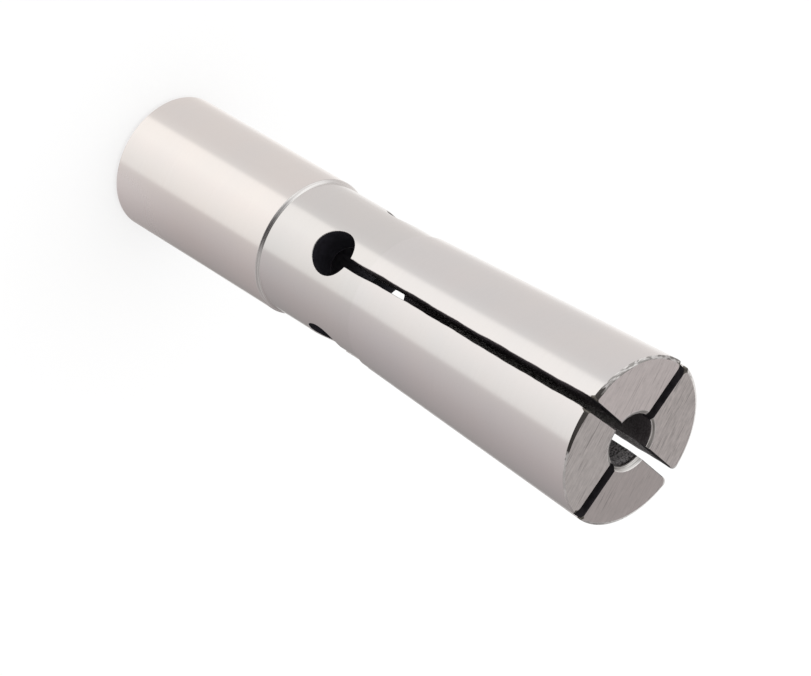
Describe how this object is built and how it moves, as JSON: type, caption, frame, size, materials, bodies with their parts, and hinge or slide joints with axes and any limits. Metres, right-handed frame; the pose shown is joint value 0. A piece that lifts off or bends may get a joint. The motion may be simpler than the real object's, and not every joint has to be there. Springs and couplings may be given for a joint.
{
  "type": "collet",
  "caption": "Slender draw-in collet with a straight shank, a relieved neck, a slotted closing cone and a small grip bore.",
  "frame": {"origin": "centre of the rear face, at the bottom of the part as it stands", "axes": "+Z along the axis from the rear face to the front face; the two slots lie in the XZ and YZ planes"},
  "size_m": [0.0094, 0.0094, 0.0373],
  "materials": {
    "steel": "finely ground bright steel, front face with straight grinding lines, slots and bores dark"
  },
  "bodies": {
    "root": {"collet": "steel"}
  },
  "joints": []
}
